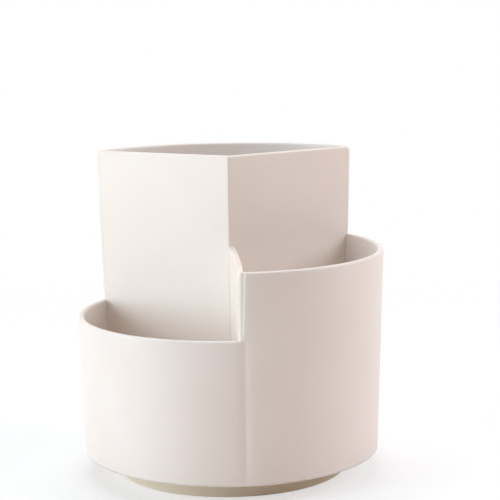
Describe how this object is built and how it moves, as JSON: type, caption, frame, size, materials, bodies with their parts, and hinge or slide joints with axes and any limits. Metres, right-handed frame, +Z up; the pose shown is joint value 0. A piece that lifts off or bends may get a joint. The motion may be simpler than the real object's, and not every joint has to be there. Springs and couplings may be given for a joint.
{
  "type": "rotating desk organizer",
  "caption": "Round rotating desk organizer: a stepped tub with divided pockets for pens and small things, turning on a ball-bearing foot.",
  "frame": {"origin": "on the turning axis, in the plane that the grip pads stand on", "axes": "+Z up along the turning axis; the front divider points along -Y, the pen pockets are towards +Y, and the low pocket is towards -X"},
  "size_m": [0.1252, 0.1271, 0.1293],
  "materials": {
    "tub_plastic": "satin moulded ABS, ivory",
    "insert_plastic": "satin moulded ABS, ivory",
    "separator_plastic": "satin moulded ABS, ivory",
    "foot_plastic": "satin moulded ABS, ivory",
    "cover_plastic": "fine-textured moulded ABS, ivory",
    "pad_rubber": "matt soft rubber, grey",
    "acetal": "satin acetal, natural white",
    "bearing_steel": "polished bearing steel",
    "zinc_plate": "pressed sheet steel, bright zinc",
    "zinc_screw": "bright zinc plated",
    "brass": "turned brass"
  },
  "bodies": {
    "base": {"foot_shell": "foot_plastic", "lower_race_plate": "zinc_plate", "lower_race_screws": "zinc_screw", "pivot_bush": "acetal", "thrust_washer": "acetal", "bottom_cover": "cover_plastic", "cover_screws": "zinc_screw", "grip_pads": "pad_rubber"},
    "carousel": {"outer_tub": "tub_plastic", "divider_insert": "insert_plastic", "pen_separator": "separator_plastic", "insert_screws": "zinc_screw", "upper_race_plate": "zinc_plate", "upper_race_screws": "zinc_screw", "threaded_insert": "brass", "pivot_screw": "zinc_screw", "lock_washer": "zinc_screw", "retaining_washer": "zinc_screw"},
    "ball_train": {"ball_cage": "acetal", "race_balls": "bearing_steel"}
  },
  "joints": [
    {"name": "carousel_turn", "type": "hinge", "parent": "base", "child": "carousel", "pos_m": [0, 0, 0.0103], "axis": [0, 0, 1], "continuous": true},
    {"name": "cage_turn", "type": "hinge", "parent": "base", "child": "ball_train", "pos_m": [0, 0, 0.0103], "axis": [0, 0, 1], "continuous": true}
  ],
  "couplings": [
    {"joint": "cage_turn", "follows": "carousel_turn", "ratio": 0.5}
  ]
}
